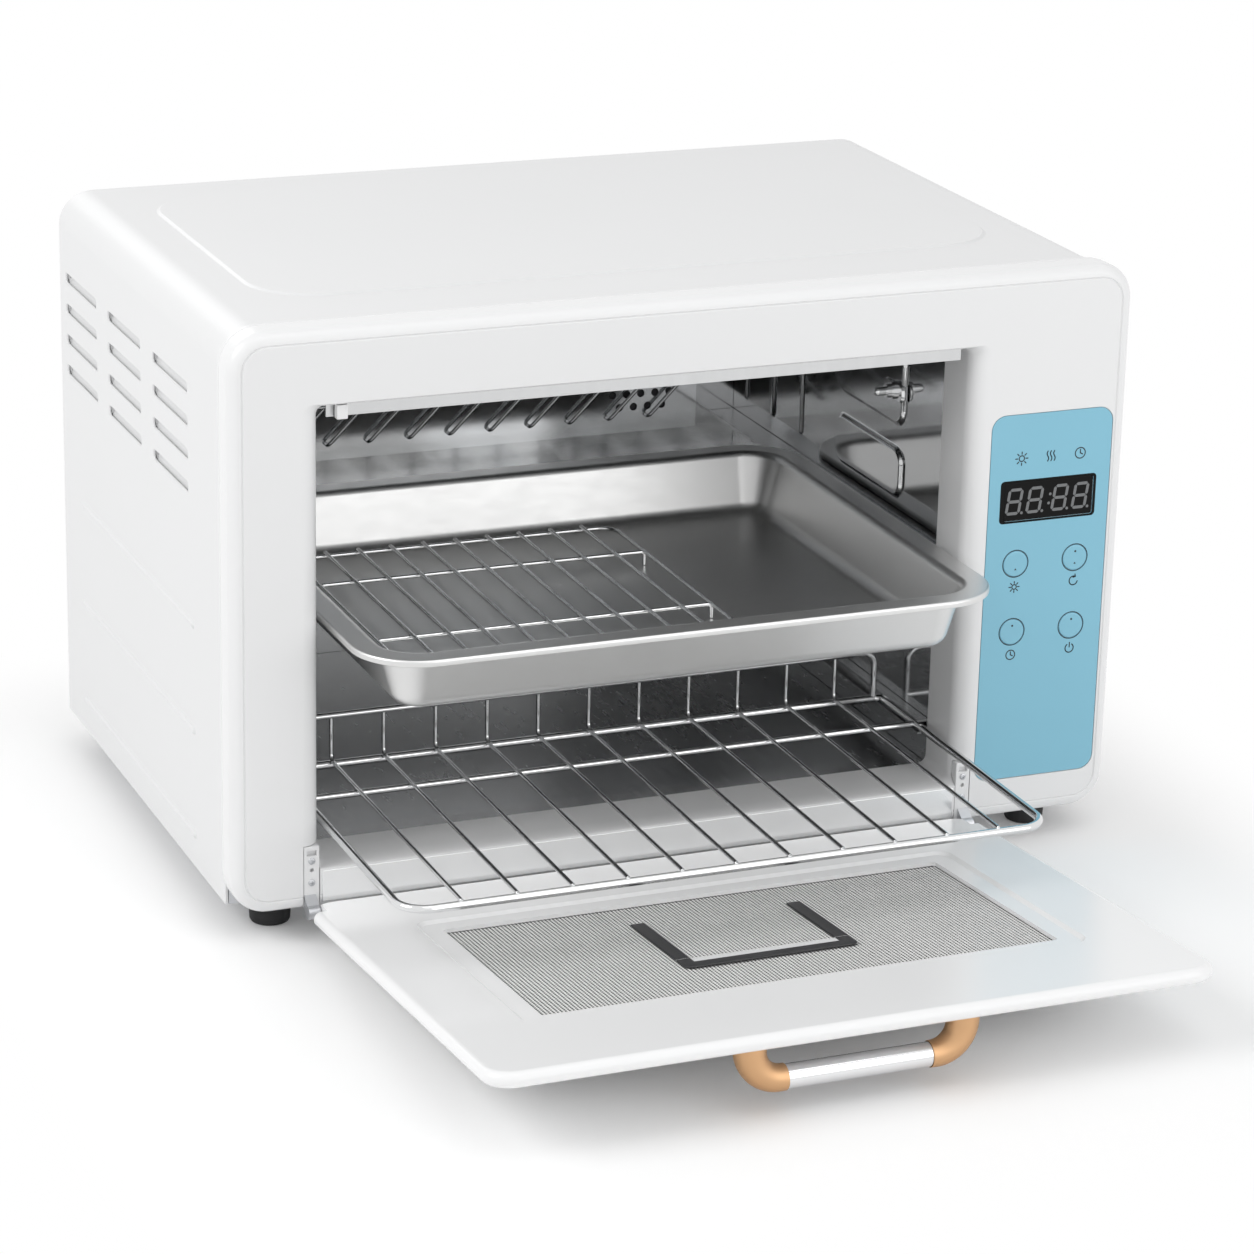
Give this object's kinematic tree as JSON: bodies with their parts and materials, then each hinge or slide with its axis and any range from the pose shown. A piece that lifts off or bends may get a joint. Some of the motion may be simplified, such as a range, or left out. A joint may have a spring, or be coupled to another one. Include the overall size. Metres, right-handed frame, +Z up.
{
  "type": "uv sterilizer cabinet",
  "caption": "White benchtop ultraviolet tool sterilizer with a drop-down window door, a steel tray, a wire rack and a light blue control panel.",
  "frame": {"origin": "on the plane that the four feet stand on, below the middle of the whole outline with the door open", "axes": "+X to the right seen from the front, +Y from the door into the cabinet, +Z up"},
  "size_m": [0.4, 0.489, 0.2595],
  "materials": {
    "white_plastic": "glossy white moulding",
    "white_steel": "satin white paint on sheet steel",
    "zinc_steel": "dull zinc plate",
    "black_rubber": "matt",
    "liner_steel": "bright rolled stainless sheet",
    "blue_membrane": "satin printed film",
    "black_lens": "glossy smoked lens",
    "black_plastic": "matt moulding",
    "board_green": "solder mask over glass fibre board",
    "lamp_glass": "clear quartz tube",
    "window_glass": "clear toughened pane",
    "bright_reflector": "mirror bright sheet",
    "heater_aluminium": "as extruded",
    "chrome_wire": "bright chrome plate",
    "tray_steel": "pressed stainless, satin",
    "copper_gold": "satin copper-gold coating on metal tube"
  },
  "bodies": {
    "cabinet": {"front_frame": "white_plastic", "outer_shell": "white_steel", "rear_panel": "white_steel", "base_pan": "zinc_steel", "foot_front_left": "black_rubber", "foot_front_right": "black_rubber", "foot_rear_left": "black_rubber", "foot_rear_right": "black_rubber", "liner_left": "liner_steel", "liner_right": "liner_steel", "liner_back": "liner_steel", "liner_floor": "liner_steel", "liner_ceiling": "liner_steel", "opening_lip": "liner_steel", "door_sensor": "white_plastic", "control_membrane": "blue_membrane", "display_window": "black_lens", "display_module": "black_plastic", "control_board": "board_green", "uv_lamp": "lamp_glass", "lamp_holder_left": "white_plastic", "lamp_holder_right": "white_plastic", "lamp_reflector": "bright_reflector", "wire_guard": "chrome_wire", "temperature_probe": "chrome_wire", "fan_housing": "black_plastic", "power_board": "board_green", "lamp_ballast": "zinc_steel", "drying_heater": "heater_aluminium", "cable_gland": "black_plastic", "hinge_bracket_left": "white_plastic", "hinge_bracket_right": "white_plastic", "hinge_pin_left": "zinc_steel", "hinge_pin_right": "zinc_steel", "rack_guide_left": "liner_steel", "rack_guide_right": "liner_steel", "tray_rail_left": "liner_steel", "tray_rail_right": "liner_steel"},
    "door": {"door_panel": "white_plastic", "door_glass": "window_glass", "door_mesh": "liner_steel", "window_band": "black_plastic", "handle_elbow_left": "copper_gold", "handle_elbow_right": "copper_gold", "handle_bar": "chrome_wire"},
    "rack": {"wire_rack": "chrome_wire", "rack_fence": "chrome_wire"},
    "tray": {"tray": "tray_steel", "tray_insert": "chrome_wire"},
    "fan": {"fan_rotor": "black_plastic"},
    "lamp_key": {"key_lamp": "blue_membrane"},
    "auto_key": {"key_auto": "blue_membrane"},
    "timer_key": {"key_timer": "blue_membrane"},
    "power_key": {"key_power": "blue_membrane"}
  },
  "joints": [
    {"name": "door_hinge", "type": "hinge", "parent": "cabinet", "child": "door", "pos_m": [-0.018, -0.02878, 0.0145], "axis": [-1, 0, 0], "range_deg": [0, 85]},
    {"name": "rack_slide", "type": "slide", "parent": "cabinet", "child": "rack", "axis": [0, 1, 0], "range_m": [0, 0.15]},
    {"name": "tray_slide", "type": "slide", "parent": "cabinet", "child": "tray", "axis": [0, 1, 0], "range_m": [0, 0.056]},
    {"name": "fan_spin", "type": "hinge", "parent": "cabinet", "child": "fan", "pos_m": [0.16235, 0.22592, 0.1895], "axis": [0, 1, 0], "continuous": true},
    {"name": "key_lamp_press", "type": "slide", "parent": "cabinet", "child": "lamp_key", "axis": [0, 1, 0], "range_m": [0, 0.0006], "stiffness_N_per_m": 500, "springref_m": -0.0004},
    {"name": "key_auto_press", "type": "slide", "parent": "cabinet", "child": "auto_key", "axis": [0, 1, 0], "range_m": [0, 0.0006], "stiffness_N_per_m": 500, "springref_m": -0.0004},
    {"name": "key_timer_press", "type": "slide", "parent": "cabinet", "child": "timer_key", "axis": [0, 1, 0], "range_m": [0, 0.0006], "stiffness_N_per_m": 500, "springref_m": -0.0004},
    {"name": "key_power_press", "type": "slide", "parent": "cabinet", "child": "power_key", "axis": [0, 1, 0], "range_m": [0, 0.0006], "stiffness_N_per_m": 500, "springref_m": -0.0004}
  ],
  "couplings": [
    {"joint": "rack_slide", "follows": "door_hinge", "m_per_rad": 0.1011},
    {"joint": "tray_slide", "follows": "door_hinge", "m_per_rad": 0.0377}
  ]
}
